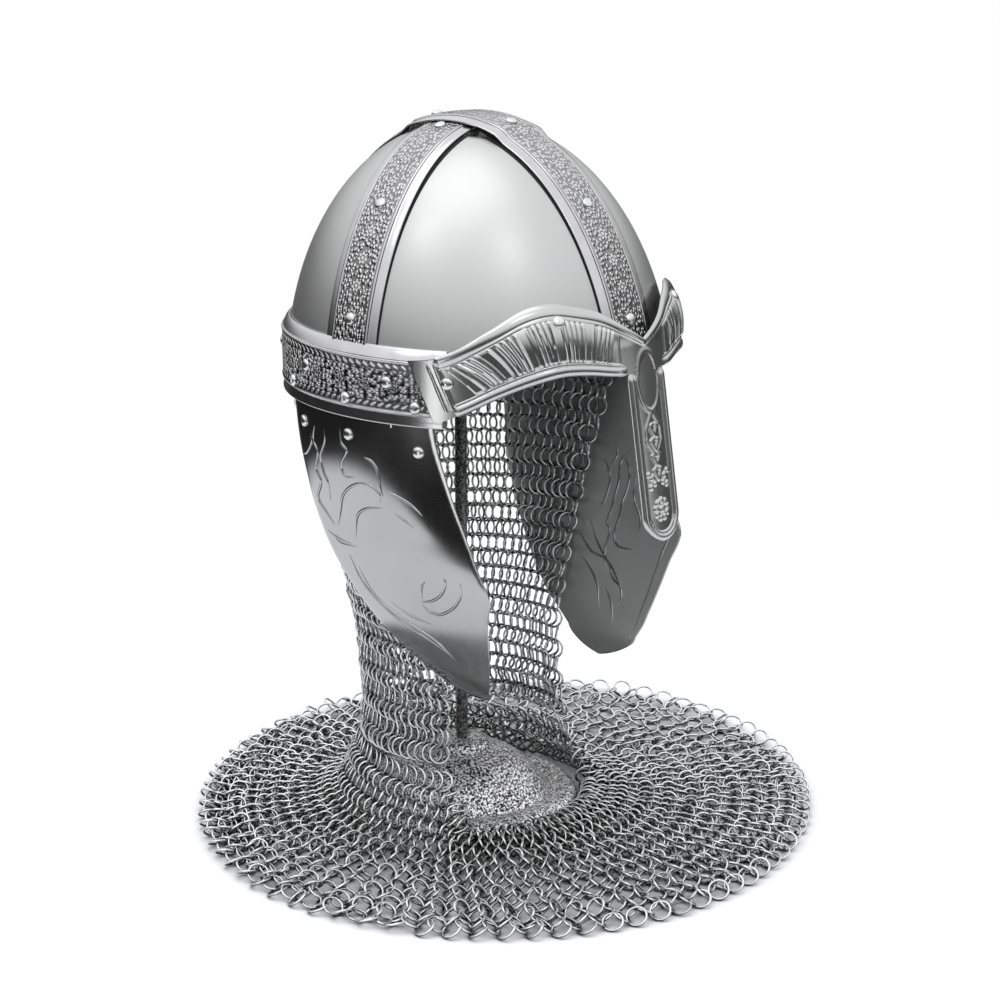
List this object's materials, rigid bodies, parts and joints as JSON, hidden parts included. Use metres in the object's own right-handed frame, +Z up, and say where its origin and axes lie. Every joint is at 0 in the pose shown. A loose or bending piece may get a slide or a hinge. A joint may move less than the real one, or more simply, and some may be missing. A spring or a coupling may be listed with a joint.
{
  "type": "norman helmet on a display stand",
  "caption": "Steel helmet with crossed strips, eye arches and a nasal, cheek plates and a mail neck guard, standing on a round rod stand.",
  "frame": {"origin": "middle of the stand's flat underside, on the surface that it stands on", "axes": "+Z up along the stand's rod; -Y towards the face; +X towards the wearer's left"},
  "size_m": [0.401, 0.3864, 0.4154],
  "materials": {
    "panel_steel": "satin",
    "strip_steel": "embossed, satin with dark recesses",
    "brow_steel": "embossed, polished",
    "cheek_steel": "engraved, polished",
    "mail_steel": "bright wire",
    "rivet_steel": "polished",
    "stand_paint": "black and silver hammertone"
  },
  "bodies": {
    "root": {"brow_band": "strip_steel", "brow_nasal": "brow_steel", "cheek_plate_left": "cheek_steel", "cheek_plate_right": "cheek_steel", "mail_curtain": "mail_steel", "mail_mantle": "mail_steel", "panel_back_left": "panel_steel", "panel_back_right": "panel_steel", "panel_front_left": "panel_steel", "panel_front_right": "panel_steel", "rivet_back_1": "rivet_steel", "rivet_back_2": "rivet_steel", "rivet_back_3": "rivet_steel", "rivet_band_left_1": "rivet_steel", "rivet_band_left_2": "rivet_steel", "rivet_band_left_3": "rivet_steel", "rivet_band_right_1": "rivet_steel", "rivet_band_right_2": "rivet_steel", "rivet_band_right_3": "rivet_steel", "rivet_brow_left_1": "rivet_steel", "rivet_brow_left_2": "rivet_steel", "rivet_brow_right_1": "rivet_steel", "rivet_brow_right_2": "rivet_steel", "rivet_cheek_left_1": "rivet_steel", "rivet_cheek_left_2": "rivet_steel", "rivet_cheek_left_3": "rivet_steel", "rivet_cheek_right_1": "rivet_steel", "rivet_cheek_right_2": "rivet_steel", "rivet_cheek_right_3": "rivet_steel", "rivet_front_1": "rivet_steel", "rivet_front_2": "rivet_steel", "rivet_front_3": "rivet_steel", "rivet_left_1": "rivet_steel", "rivet_left_2": "rivet_steel", "rivet_left_3": "rivet_steel", "rivet_plate_left_1": "rivet_steel", "rivet_plate_left_2": "rivet_steel", "rivet_plate_left_3": "rivet_steel", "rivet_plate_right_1": "rivet_steel", "rivet_plate_right_2": "rivet_steel", "rivet_plate_right_3": "rivet_steel", "rivet_right_1": "rivet_steel", "rivet_right_2": "rivet_steel", "rivet_right_3": "rivet_steel", "stand_base": "stand_paint", "stand_head": "stand_paint", "stand_rod": "stand_paint", "strip_front_to_back": "strip_steel", "strip_side_to_side": "strip_steel"}
  },
  "joints": []
}
